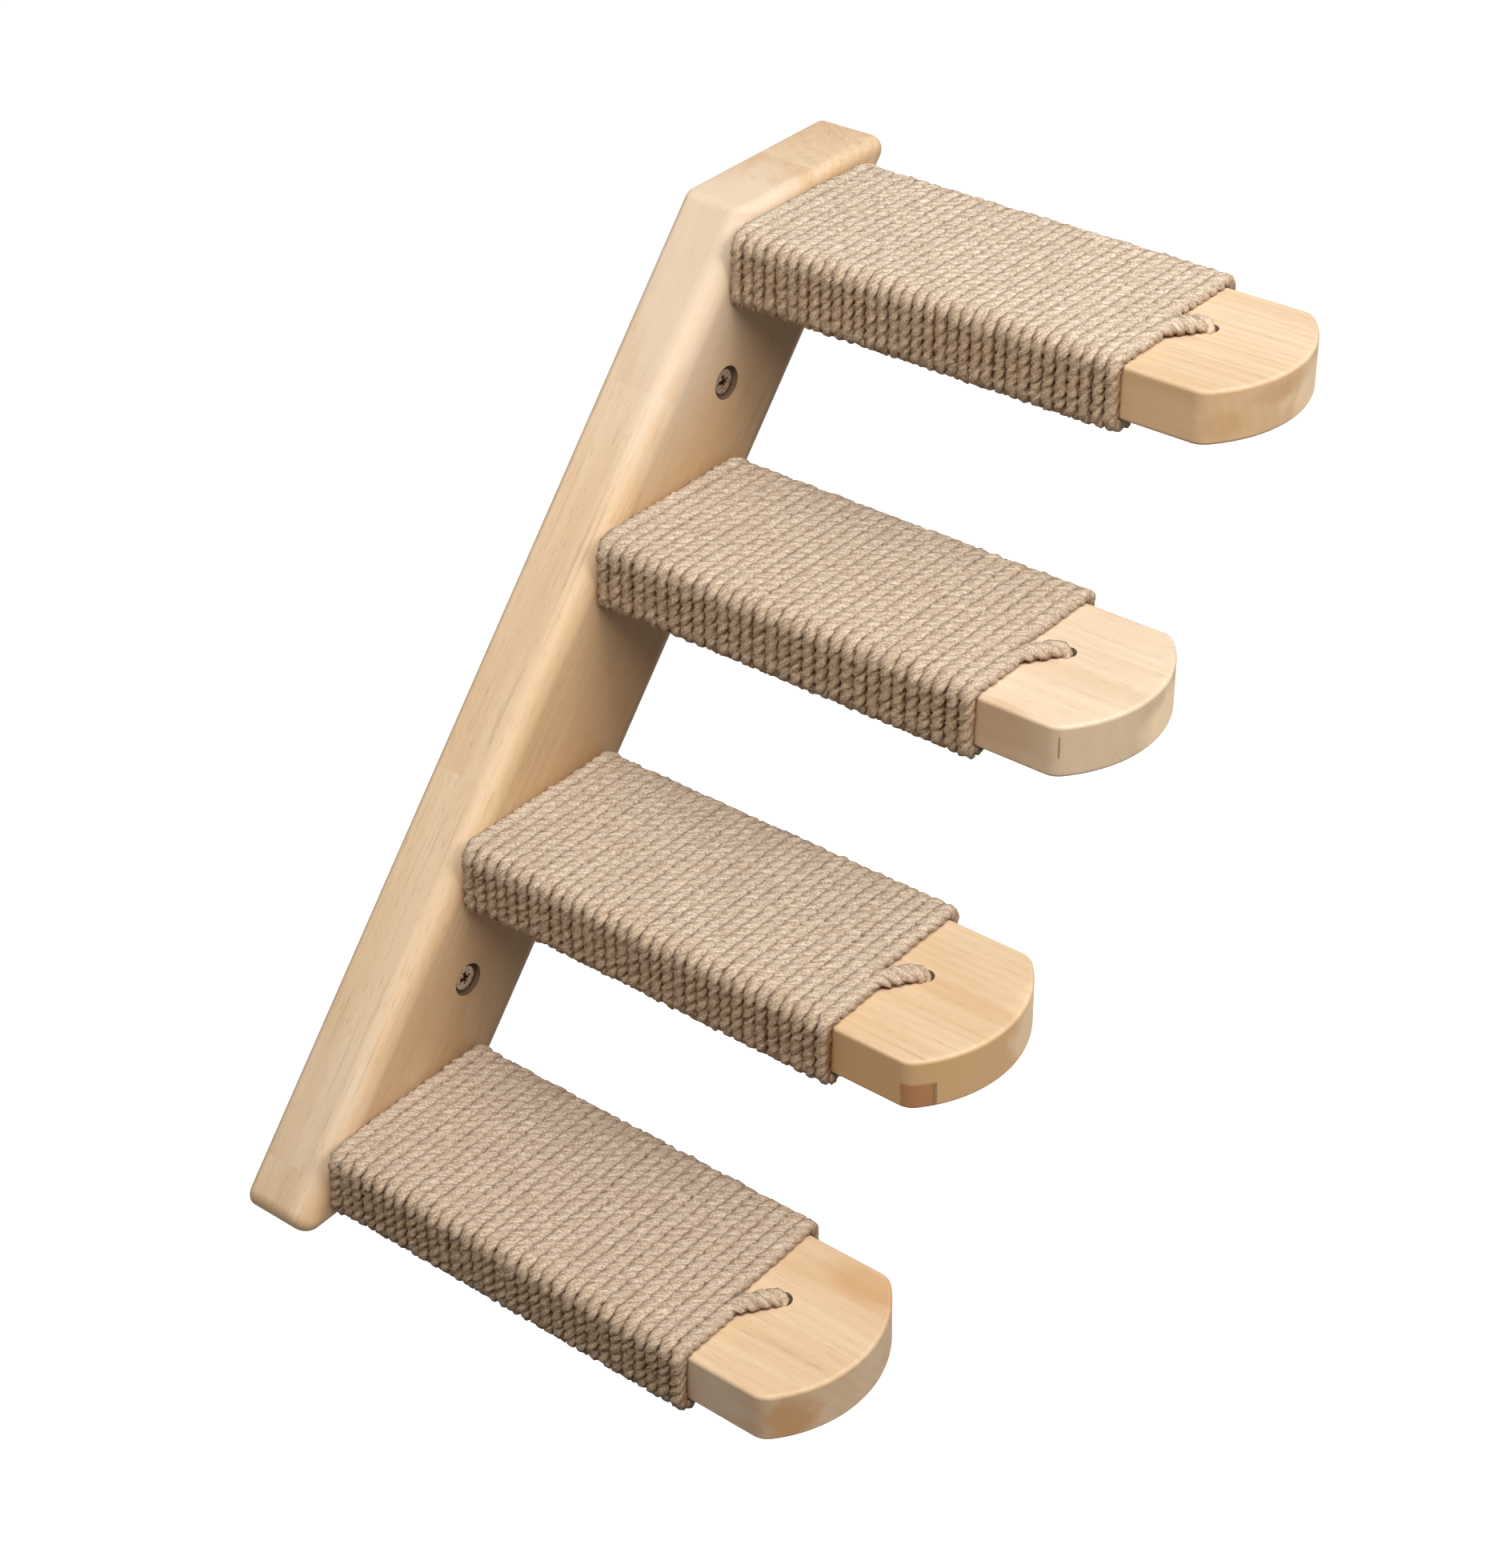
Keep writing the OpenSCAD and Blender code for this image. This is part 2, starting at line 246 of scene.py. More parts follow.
# The layers of the wood's grain: how often each changes in a metre across the grain and along
# it, and its noise's detail and roughness.
GRAIN = {
    "wander": (22, 3, 2, 0.5),
    "streaks": (900, 16, 3, 0.6),
    "bands": (260, 5, 2, 0.5),
    "broad": (38, 5, 3, 0.6),
    "ticks": (1700, 150, 1, 0.5),
    "ragged": (130, 22, 3, 0.5),
}
GRAIN_SHIFT = (0.37, 0.11, 0.23)
RING_WANDER = 5.0

# How much the rings and layers add to the wood's shade, and the shades from pale to deep.
SHADE_OF_RINGS = 0.18
SHADE_OF_BROAD = 0.86
SHADE_OF_FINE = 0.42
SHADE_SPAN = (0.62, 1.22)
UPRIGHT_SPAN = (0.3, 0.8)

# The glued blocks of the board's wood.
STAVE_WIDTH = 34*MM
STAVE_LENGTH = 150*MM
STAVE_ASIDE = 3*MM
STAVE_ALONG = 0.35
STAVE_TINT = 0.6

# The rims of marks in the wood: how ragged, where they begin to fade, and where they end.
SPOT_RIM = (0.9, 0.9, 1.6)
INLAY_RIM = (0.25, 1.0, 1.22)


class Nodes:
    """Short calls for building the nodes of one material, or of the world."""

    def __init__(self, owner, shader="Principled BSDF"):
        owner.use_nodes = True
        self.owner = owner
        self.tree = owner.node_tree
        self.shader = self.tree.nodes[shader]

    def feed(self, node, inputs):
        """Gives each named or numbered socket a value, or the output of another node."""
        for socket, value in inputs.items():
            if isinstance(value, bpy.types.NodeSocket):
                self.tree.links.new(value, node.inputs[socket])
            else:
                node.inputs[socket].default_value = value

    def add(self, kind, inputs=None, **properties):
        """The outputs of a new node of that kind."""
        node = self.tree.nodes.new("ShaderNode" + kind)
        for key, value in properties.items():
            setattr(node, key, value)
        self.feed(node, inputs or {})
        return node.outputs

    def math(self, operation, *values):
        return self.add("Math", dict(enumerate(values)), operation=operation)[0]

    def vector_math(self, operation, *values, output="Vector"):
        return self.add("VectorMath", dict(enumerate(values)), operation=operation)[output]

    def weighted(self, *parts):
        """The sum of some values, each given with its weight."""
        total = 0.0
        for value, weight in parts:
            total = self.math("MULTIPLY_ADD", value, weight, total)
        return total

    def mix(self, share, a, b, blend="MIX"):
        """Colour a where the share is 0, and where it is 1 colour b, or b blended with a.

        A mix node has sockets for every kind of data: 6 and 7 take colours, and 2 gives one.
        """
        return self.add("Mix", {0: share, 6: a, 7: b}, data_type="RGBA", blend_type=blend)[2]

    def stain(self, colour, tint, share, strength):
        """The colour leaning to a tint, by a share times a strength."""
        return self.mix(self.math("MULTIPLY", share, strength), colour, tint)

    def noise(self, vector, scale, detail, roughness=0.5):
        inputs = {"Vector": vector, "Scale": scale, "Detail": detail, "Roughness": roughness}
        return self.add("TexNoise", inputs)["Fac"]

    def ramp(self, value, low, high, kind="SMOOTHSTEP"):
        """0 below low and 1 above high, in a smooth step unless another kind is asked for."""
        inputs = {"Value": value, "From Min": low, "From Max": high}
        return self.add("MapRange", inputs, interpolation_type=kind)["Result"]

    def placed(self, vector, offset=(0, 0, 0), turn=(0, 0, 0), scale=(1, 1, 1)):
        inputs = {"Vector": vector, "Location": offset, "Rotation": turn, "Scale": scale}
        return self.add("Mapping", inputs)["Vector"]

    def split(self, vector):
        """A vector's three numbers, by the names X, Y and Z."""
        return self.add("SeparateXYZ", {0: vector})

    def bump(self, height, strength, distance):
        inputs = {"Height": height, "Strength": strength, "Distance": distance}
        self.feed(self.shader, {"Normal": self.add("Bump", inputs)["Normal"]})

    def finish(self, inputs):
        """Feeds the shader, and gives the material or the world that it belongs to."""
        self.feed(self.shader, inputs)
        return self.owner


def rim(n, far, ragged, raggedness, fades, ends):
    """1 near a mark's middle and 0 beyond its uneven rim."""
    uneven = n.weighted((far, 1.0), (ragged, raggedness))
    return n.math("SUBTRACT", 1.0, n.ramp(uneven, fades, ends))


def spot(n, space, place, radii, ragged):
    """1 inside an ellipsoid with a soft uneven rim, and 0 outside it."""
    away = n.placed(n.vector_math("SUBTRACT", space, place), scale=[1/r for r in radii])
    return rim(n, n.vector_math("LENGTH", away, output="Value"), ragged, *SPOT_RIM)


def inlay(n, space, place, halves, ragged):
    """1 inside a box with a nearly clean rim, and 0 outside it."""
    away = n.placed(n.vector_math("SUBTRACT", space, place), scale=[1/h for h in halves])
    sides = n.split(n.vector_math("ABSOLUTE", away))
    far = n.math("MAXIMUM", n.math("MAXIMUM", sides["X"], sides["Y"]), sides["Z"])
    return rim(n, far, ragged, *INLAY_RIM)


def glued_blocks(n, space):
    """A random value for each glued block of the wood, and a random shift of its grain."""
    offset = (STAVE_ASIDE/STAVE_WIDTH, STAVE_ALONG, 0.5)
    cells = n.placed(space, offset=offset, scale=(1/STAVE_WIDTH, 1/STAVE_LENGTH, 0))
    block = n.add("TexWhiteNoise", {"Vector": n.vector_math("FLOOR", cells)}, noise_dimensions="3D")
    return block["Value"], block["Color"]


def growth_rings(n, grown, across, through, wander):
    """A value that runs between 0 and 1 and back in each ring, so many times in a metre."""
    phase = n.vector_math("DOT_PRODUCT", grown, (across, 0, through), output="Value")
    phase = n.weighted((phase, 1.0), (wander, RING_WANDER))
    off_middle = n.math("ABSOLUTE", n.math("SUBTRACT", n.math("FRACT", phase), 0.5))
    return n.math("MULTIPLY", off_middle, 2.0)


def wood(name, seed, marks, ring, tone, side_shade, turns=(), glued=False, pores=0.15, streaks=(0.62, 0.35)):
    """Bare sanded wood. In wood space the grain runs along Y.

    Marks are knots, stains and painted light in wood space: how they are bounded, place, radii,
    colour and strength. ring says how many growth rings there are to a metre across and through
    the wood. tone is a colour that the whole piece leans to, and how much. The side shade is how
    much deeper and warmer the colour is on the upright sides, partly their grain and partly painted
    shade. turns bring the part's own axes into wood space. glued wood is made of blocks. pores is
    how much the dark ticks show, and streaks is where the dark streaks begin and how much they show.
    """
    n = Nodes(bpy.data.materials.new(name))
    space = n.add("TexCoord")["Object"]
    for turn in turns:
        space = n.placed(space, turn=turn)
    grown = n.placed(space, offset=[seed*shift for shift in GRAIN_SHIFT])
    if glued:
        block, shift = glued_blocks(n, space)
        grown = n.vector_math("ADD", grown, shift)
    layers = {
        key: n.noise(n.placed(grown, scale=(across, along, across)), 1, detail, roughness)
        for key, (across, along, detail, roughness) in GRAIN.items()
    }
    rings = growth_rings(n, grown, *ring, layers["wander"])
    fine = n.math("ADD", layers["streaks"], layers["bands"])
    shade = n.weighted((rings, SHADE_OF_RINGS), (layers["broad"], SHADE_OF_BROAD), (fine, SHADE_OF_FINE))
    colour = n.mix(n.ramp(shade, *SHADE_SPAN), PALE, MID)
    colour = n.mix(tone[1], colour, tone[0])
    if glued:
        colour = n.stain(colour, TAN, block, STAVE_TINT)
    for key, begins, full, strength, tint in (
        ("broad", 0.45, 0.80, 0.4, TAN),
        ("streaks", streaks[0], 0.80, streaks[1], DARK),
        ("ticks", 0.60, 0.70, pores, DARK),
    ):
        colour = n.stain(colour, tint, n.ramp(layers[key], begins, full), strength)
    # Upright faces are deeper and warmer: partly their grain, and partly painted shade.
    upward = n.math("ABSOLUTE", n.split(n.add("TexCoord")["Normal"])["Z"])
    upright = n.math("SUBTRACT", 1.0, n.ramp(upward, *UPRIGHT_SPAN))
    colour = n.stain(colour, SIDE_GRAIN_AND_SHADE, upright, side_shade)
    for bounded, place, radii, tint, strength in marks:
        inside = bounded(n, space, place, radii, layers["ragged"])
        colour = n.stain(colour, tint, inside, strength)
    relief = n.weighted((layers["streaks"], 0.6), (layers["ticks"], 0.4))
    n.bump(relief, strength=0.10, distance=0.3*MM)
    return n.finish({"Base Color": colour, "Roughness": 0.62})


def hole_painted_shade():
    """The dark wall of a drilled hole, painted as shade."""
    n = Nodes(bpy.data.materials.new("hole_painted_shade"))
    rough = n.noise(n.add("TexCoord")["Object"], 1400, detail=3, roughness=0.7)
    n.bump(rough, strength=0.4, distance=0.3*MM)
    return n.finish({"Base Color": n.mix(n.ramp(rough, 0.35, 0.7), HOLE_SHADE, HOLE_DEEP_SHADE), "Roughness": 0.8})


def rope_material(name, top_light_and_shade):
    """Jute. The top tint is painted light and shade: it multiplies the colour where the rope lies on the
    step's top.

    The rope's mesh says where the grooves between strands are, the gaps between turns, and the
    parts that lie beside the step. All three get painted shade.
    """
    n = Nodes(bpy.data.materials.new(name))
    along = n.add("UVMap", uv_map="strand")["UV"]
    fibres = n.noise(n.placed(along, scale=(330, 1500, 1)), 1, detail=4, roughness=0.8)
    fuzz = n.noise(n.add("TexCoord")["Object"], 1300, detail=4, roughness=0.8)
    patches = n.noise(n.placed(along, scale=(35, 120, 1)), 1, detail=2)
    flecks = n.weighted((fibres, 0.5), (fuzz, 0.5))
    colour = n.mix(n.ramp(flecks, 0.42, 0.57), ROPE_DARK, ROPE_PALE)
    colour = n.stain(colour, ROPE_GREY, n.ramp(patches, 0.4, 0.75), 0.35)
    # The groove and gap colours are painted shade, where the mesh says.
    for key, fleck_share, begins, full, strength, tint in (
        ("groove_shade", -1.2, -0.2, 0.6, 0.75, ROPE_GROOVE_SHADE),
        ("gap", -0.6, -0.35, 0.45, 1.0, ROPE_GAP_SHADE),
    ):
        deep = n.add("Attribute", attribute_name=key)["Fac"]
        deep = n.weighted((deep, 1.0), (flecks, fleck_share))
        colour = n.stain(colour, tint, n.ramp(deep, begins, full), strength)
    # Painted shade on the rope beside the step.
    side = n.add("Attribute", attribute_name="side")["Fac"]
    colour = n.mix(side, colour, ROPE_SIDE_SHADE, "MULTIPLY")
    colour = n.mix(n.math("SUBTRACT", 1.0, side), colour, top_light_and_shade, "MULTIPLY")
    n.bump(n.math("ADD", fibres, fuzz), strength=0.8, distance=0.5*MM)
    return n.finish({"Base Color": colour, "Roughness": 0.95})


def metal(name, colour, roughness):
    """Bare metal that is darker and rougher where it is worn."""
    n = Nodes(bpy.data.materials.new(name))
    wear = n.noise(n.add("TexCoord")["Object"], 900, detail=4, roughness=0.7)
    worn = tuple(METAL_WORN*c for c in colour[:3]) + (1,)
    n.bump(wear, strength=0.1, distance=0.1*MM)
    return n.finish({
        "Base Color": n.mix(n.ramp(wear, 0.35, 0.7), colour, worn), "Metallic": 1.0,
        "Roughness": n.math("MULTIPLY_ADD", wear, 0.3, roughness - 0.15),
    })


def linked(name, data):
    """A new object with that mesh, light or camera, in the scene."""
    thing = bpy.data.objects.new(name, data)
    bpy.context.scene.collection.objects.link(thing)
    return thing


def dress(node, material):
    """Gives a carried-over CAD node its material."""
    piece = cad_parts[node]
    piece.data.materials.clear()
    piece.data.materials.append(material)


def unit(v):
    return v/np.linalg.norm(v, axis=-1, keepdims=True)


def circle(radius, height, turn):
    """A ring of places about the Z axis. The radius may differ round the ring."""
    return np.column_stack([radius*np.cos(turn), radius*np.sin(turn), np.full(len(turn), height)])


def skin(name, rings, smooth_caps=False):
    """A closed mesh through rings of places that have the same number of points.

    Each ring runs anticlockwise about the way on to the next one.
    """
    n, m = len(rings), len(rings[0])
    ring = np.arange(m)
    begin = (np.arange(n - 1)*m)[:, None]
    a, b = begin + ring, begin + (ring + 1) % m
    quads = np.stack([a, b, b + m, a + m], -1)
    corners = np.concatenate([ring[::-1], ring + (n - 1)*m, quads.ravel()])
    starts = np.concatenate([[0, m], 2*m + 4*np.arange(quads[..., 0].size)])
    smooth = np.ones(len(starts), bool)
    smooth[:2] = smooth_caps
    mesh = bpy.data.meshes.new(name)
    mesh.vertices.add(n*m)
    mesh.vertices.foreach_set("co", np.concatenate(rings).astype(np.float32).ravel())
    mesh.loops.add(len(corners))
    mesh.loops.foreach_set("vertex_index", corners.astype(np.int32))
    mesh.polygons.add(len(starts))
    mesh.polygons.foreach_set("loop_start", starts.astype(np.int32))
    mesh.polygons.foreach_set("use_smooth", smooth)
    mesh.update(calc_edges=True)
    return mesh


def edge_levels(back_r, front_r, thickness):
    """Pairs of inset and height through a slab, with a rounded edge at each face.

    The radii may be arrays with one value for each part of the slab's outline. One more level
    just past each edge keeps the slab's sides flat to the eye.
    """
    levels = []
    for r, face, inward in ((back_r, 0, 1), (front_r, thickness, -1)):
        a = np.linspace(0, math.pi/2, EDGE_POINTS)
        arc = [(r*(1 - math.sin(t)), face + inward*r*(1 - math.cos(t))) for t in a]
        arc.append((0*r, face + inward*EDGE_HELD_AT*r))
        levels += arc if inward > 0 else arc[::-1]
    return levels


def drill(piece, material, mouth, inward, profile):
    """Cuts a turned hole from the place of its mouth. The profile gives radii and depths in mm."""
    turn = np.linspace(0, 2*math.pi, HOLE_POINTS, endpoint=False)
    mesh = skin("drill", [circle(r*MM, depth*MM, turn) for r, depth in profile])
    mesh.transform(Matrix.Translation(mouth) @ Vector(inward).to_track_quat("Z", "Y").to_matrix().to_4x4())
    mesh.materials.append(material)
    cutter = linked("drill", mesh)
    cut = piece.modifiers.new("cut", "BOOLEAN")
    cut.solver = "EXACT"
    cut.material_mode = "TRANSFER"
    cut.object = cutter
    seen = piece.evaluated_get(bpy.context.evaluated_depsgraph_get())
    mesh = bpy.data.meshes.new_from_object(seen)
    piece.modifiers.clear()
    piece.data = mesh
    bpy.data.objects.remove(cutter)


def board_outline(half_h, side_inset, end_inset):
    """The slanting board as seen from the room, drawn in from its sides and its ends.

    Gives X and Z of its edge, and how much each place belongs to an end, from 0 to 1.
    """
    sides = (
        (math.pi - LEAN, BOARD_HALF_W - side_inset), (math.pi/2, half_h - end_inset),
        (-LEAN, BOARD_HALF_W - side_inset), (-math.pi/2, half_h - end_inset),
    )
    r = max(BOARD_CORNER_R - (side_inset + end_inset)/2, BOARD_LEAST_CORNER_R)
    t = np.linspace(0, 1, BOARD_CORNER_POINTS)
    place, end_share = [], []
    for k, (angle, away) in enumerate(sides):
        next_angle, next_away = sides[(k + 1) % 4]
        both = np.array([[math.cos(a), math.sin(a)] for a in (angle, next_angle)])
        pivot = np.linalg.solve(both, [away - r, next_away - r])
        a = angle - t*((angle - next_angle) % (2*math.pi))
        place.append(pivot + r*np.stack([np.cos(a), np.sin(a)], 1))
        end_share.append(1 - t if k % 2 else t)
    return np.concatenate(place), np.concatenate(end_share)


def add_board(material, hole_wall):
    """The wall board, with its soft edges and ends and the seats of all its screws."""
    low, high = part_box("backboard")
    rings = []
    for inset, off_wall in edge_levels(np.array(BOARD_BACK_R), np.array(BOARD_FRONT_R), high.y - low.y):
        edge, end_share = board_outline(high.z, *inset)
        off_wall = off_wall[0] + (off_wall[1] - off_wall[0])*end_share
        rings.append(np.column_stack([edge[:, 0], high.y - off_wall, edge[:, 1]]))
    mesh = skin("board", rings)
    mesh.materials.append(material)
    piece = linked("board", mesh)
    for node in WALL_SCREWS:
        middle = sum(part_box(node), Vector())/2
        drill(piece, hole_wall, (middle.x, low.y, middle.z), (0, 1, 0), WALL_SEAT)
    for step in STEPS:
        for side in ("left", "right"):
            middle = sum(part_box(f"step_screw_{step}_{side}"), Vector())/2
            drill(piece, hole_wall, (middle.x, high.y, middle.z), (0, -1, 0), STEP_SEAT)
    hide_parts("backboard")
    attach(piece, "root")


def plank_outline(half, back, front):
    """Places and outward directions round a plank seen from above, from the back's right corner."""
    tip_r = (TIP_BULGE**2 + half**2)/(2*TIP_BULGE)
    centre = np.array([0, front + tip_r])
    aside = half - TIP_CORNER_R
    corner = np.array([aside, centre[1] - math.sqrt((tip_r - TIP_CORNER_R)**2 - aside**2)])
    spread = math.atan2(aside, centre[1] - corner[1])
    t = np.linspace(0, math.pi/2 - spread, TIP_CORNER_POINTS)
    left = np.stack([-np.cos(t), -np.sin(t)], 1)
    a = np.linspace(-spread, spread, TIP_POINTS)[1:-1]
    tip = np.stack([np.sin(a), -np.cos(a)], 1)
    right = left[::-1]*[-1, 1]
    place = np.concatenate([
        [(half, back), (-half, back)],
        corner*[-1, 1] + TIP_CORNER_R*left, centre + tip_r*tip, corner + TIP_CORNER_R*right,
    ])
    return place, np.concatenate([[(1, 0), (-1, 0)], left, tip, right])


def add_plank(step, material, hole_wall):
    """The step's plank: a curved tip, soft corners and edges, and the hole for the rope's end."""
    low, high = STEP_BOXES[step]
    middle = (low + high)/2
    place, out = plank_outline((high.x - low.x)/2, high.y, low.y)
    rings = [
        np.column_stack([place - inset*out + [middle.x, 0], np.full(len(place), low.z + up)])
        for inset, up in edge_levels(PLANK_EDGE_R, PLANK_EDGE_R, high.z - low.z)
    ]
    mesh = skin(f"plank_{step}", rings)
    mesh.materials.append(material)
    piece = linked(f"plank_{step}", mesh)
    hole = (middle.x + TAIL_HOLE_X + TAIL_BEND_R/2, low.y + BARE_TIP - TAIL_HOLE_OUT, high.z)
    drill(piece, hole_wall, hole, (0, 0, -1), TAIL_SEAT)
    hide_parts(f"step_plank_{step}")
    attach(piece, "root")


def recess_depth(x, y):
    """How deep a screw head's cross lies at a place on its top, with steep smooth walls."""
    long_way, short_way = np.maximum(np.abs(x), np.abs(y)), np.minimum(np.abs(x), np.abs(y))
    beside = np.clip((CROSS_HALF - short_way)/CROSS_SIDE_SLOPE, 0, 1)
    ended = np.clip((CROSS_REACH - long_way)/CROSS_END_SLOPE, 0, 1)
    return CROSS_DEPTH*beside*ended*(1 - CROSS_RISES*long_way/CROSS_REACH)


def screw_mesh(name, head_r, length):
    """A countersunk wood screw that points along +Z, with its head's top at 0.

    Its cross lies in the head's top, and its thread is one ridge winding down to the point.
    """
    turn = np.linspace(0, 2*math.pi, SCREW_POINTS, endpoint=False)
    flat = np.linspace(HEAD_MIDDLE_R, head_r - HEAD_FLAT_EDGE, HEAD_RINGS)
    rings = [circle(r, 0, turn) for r in flat]
    for ring in rings:
        ring[:, 2] = recess_depth(ring[:, 0], ring[:, 1])
    thread_from = THREAD_STARTS*length
    for r, z in (
        (head_r, 0), (head_r, HEAD_RIM),
        (SHANK_R, head_r - SHANK_R + HEAD_RIM), (SHANK_R, thread_from),
    ):
        rings.append(circle(r, z, turn))
    for z in np.linspace(thread_from + THREAD_RUNS_IN, length, THREAD_RINGS):
        phase = np.mod(z/THREAD_PITCH - turn/(2*math.pi), 1)
        ridge = np.clip(1 - np.abs(phase - 0.5)/THREAD_HALF_RIDGE, 0, 1)
        to_point = (length - z)/POINT_LENGTH
        core = THREAD_CORE_R*np.clip(to_point, POINT_CORE, 1)
        r = core + ridge*(THREAD_R - THREAD_CORE_R)*np.clip(to_point, POINT_RIDGE, 1)
        rings.append(circle(r, z, turn))
    return skin(name, rings, smooth_caps=True)


def add_wall_screw(node, material):
    low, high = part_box(node)
    middle = (low + high)/2
    mesh = screw_mesh(f"{node}_screw", (high.x - low.x)/2, high.y - low.y)
    mesh.transform(Matrix.Translation((middle.x, low.y, middle.z)) @ Matrix.Rotation(-math.pi/2, 4, "X"))
    mesh.materials.append(material)
    piece = linked(f"{node}_screw", mesh)
    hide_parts(node)
    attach(piece, "root")


def smooth_step(t):
    return t*t*(3 - 2*t)


def smooth_noise(rng, count, rings):
    """Random values between -1 and 1 at count places, changing smoothly over so many rings."""
    knots = rng.uniform(-1, 1, count//rings + 4)
    at = np.arange(count)/rings
    k = at.astype(int)
    t = smooth_step(at - k)
    return knots[k]*(1 - t) + knots[k + 1]*t


def length_along(line):
    """How far along a line of places each of them lies."""
    return np.concatenate([[0], np.cumsum(np.linalg.norm(np.diff(line, axis=0), axis=1))])


def at_rings(line, values):
    """Values given at the places of a line, taken at the rope's even steps along it."""
    far_along = length_along(line)
    even = np.arange(ROPE_RING_GAP, far_along[-1], ROPE_RING_GAP)
    return np.column_stack([np.interp(even, far_along, v) for v in values.T])


def loop_round(w, half_x, half_z, corner):
    """Places and outward directions at distances w along a rounded rectangle.

    It starts low on the left side and runs up, over the top to the right, and back underneath.
    """
    flat_x, flat_z = half_x - corner, half_z - corner
    quarter = corner*math.pi/2
    starts = np.cumsum([0] + [2*flat_z, quarter, 2*flat_x, quarter]*2)
    w = np.mod(w, starts[-1])
    part = np.clip(np.searchsorted(starts, w, side="right") - 1, 0, 7)
    side, bends, way = part//2, part % 2, w - starts[part]
    angle = math.pi - side*math.pi/2 - bends*way/corner
    out = np.stack([np.cos(angle), np.sin(angle)], 1)
    ahead = np.stack([np.sin(angle), -np.cos(angle)], 1)
    begin = np.array([(-half_x, -flat_z), (-flat_x, half_z), (half_x, flat_z), (flat_x, -half_z)])
    pivot = np.array([(-flat_x, flat_z), (flat_x, flat_z), (flat_x, -flat_z), (-flat_x, -flat_z)])
    straight = begin[side] + way[:, None]*ahead
    bent = pivot[side] + corner*out
    return np.where(bends[:, None] == 1, bent, straight), out


def rope_tail(start, wound_to):
    """From the last turn over the bare wood, and down into the small hole."""
    hole = np.array([TAIL_HOLE_X, wound_to - TAIL_HOLE_OUT])
    begin = start[:2]
    reach = np.linalg.norm(hole - begin)
    heading = unit(hole - begin - [TAIL_VEER*reach, 0])
    edge = hole - TAIL_BEND_R*heading
    t = np.linspace(0, 1, TAIL_OVER_POINTS)[1:, None]
    near = begin + [TAIL_HANDLES[0]*reach, 0]
    far = edge - TAIL_HANDLES[1]*reach*heading
    level = (1 - t)**3*begin + 3*(1 - t)**2*t*near + 3*(1 - t)*t**2*far + t**3*edge
    over = np.column_stack([level, start[2] + TAIL_ARCH*np.sin(np.pi*t[:, 0])])
    a = np.linspace(0, math.pi/2, TAIL_BEND_POINTS)[1:, None]
    turn = np.column_stack([
        edge + TAIL_BEND_R*np.sin(a)*heading, start[2] - TAIL_BEND_R*(1 - np.cos(a[:, 0])),
    ])
    down = turn[-1] - np.outer(np.linspace(0, TAIL_DOWN, TAIL_DOWN_POINTS)[1:], [0, 0, 1])
    line = np.concatenate([start[None], over, turn, down])
    tilt = np.concatenate([np.zeros(len(over) + 1), a[:, 0], np.full(len(down), math.pi/2)])
    out = np.column_stack([np.outer(np.sin(tilt), heading), np.cos(tilt)])
    return at_rings(line, line), at_rings(line, out)


def rope_route(step, rng):
    """The rope's centre line round one step, and its outward directions, evenly spaced.

    The third result is how many of the places belong to the winding. The rest are the tail.
    """
    low, high = STEP_BOXES[step]
    middle = (low + high)/2
    half_x = (high.x - low.x)/2 + ROPE_R
    half_z = (high.z - low.z)/2 + ROPE_R
    corner = ROPE_CORNER_R
    girth = 4*(half_x + half_z) - (8 - 2*math.pi)*corner
    board_face, wound_to = high.y, low.y + BARE_TIP
    turns = ROPE_TURNS[step]
    pitch = (board_face - wound_to)/turns
    up_side = 2*(half_z - corner) + corner*math.pi/2
    last = girth*(turns - 1) + up_side + TAIL_LEAVES_X + half_x - corner
    count = int(last/ROPE_RING_GAP)
    w = np.linspace(-ROPE_EARLY*girth, last, count)
    place, out = loop_round(w, half_x, half_z, corner)
    y = board_face - ROPE_R - pitch*np.maximum(w/girth, 0)
    y = y + ROPE_WANDER*smooth_noise(rng, count, RINGS["wander"])
    lift = ROPE_LIFT*(1 + smooth_noise(rng, count, RINGS["lift"]))
    lift = lift + ROPE_PILE*np.exp(-np.maximum(w, 0)/(PILE_TURNS*girth))
    place = place + lift[:, None]*out
    winding = np.stack([place[:, 0], y, place[:, 1]], 1)
    outward = np.stack([out[:, 0], np.zeros(count), out[:, 1]], 1)
    tail, tail_out = rope_tail(winding[-1], wound_to)
    route = np.concatenate([winding, tail]) + np.array([middle.x, 0, middle.z])
    return route, np.concatenate([outward, tail_out]), count


def rope_section():
    """Angles and radii round the rope's section: three strands pressed together."""
    off, sector = ROPE_R - STRAND_R, 360/STRANDS
    local = np.radians(np.arange(STRAND_POINTS)*sector/STRAND_POINTS - sector/2)
    radius = off*np.cos(local) + np.sqrt(STRAND_R**2 - (off*np.sin(local))**2)
    angle = np.concatenate([local + 2*math.pi*k/STRANDS for k in range(STRANDS)])
    return angle, np.tile(radius, STRANDS)


def share_on_top(out):
    """1 where the rope lies on the step's top or underside, and 0 beside it."""
    padded = np.pad(np.abs(out[:, 2]), BLEND_RINGS, mode="edge")
    window = 2*BLEND_RINGS + 1
    return smooth_step(np.convolve(padded, np.ones(window)/window, mode="valid"))[:, None]


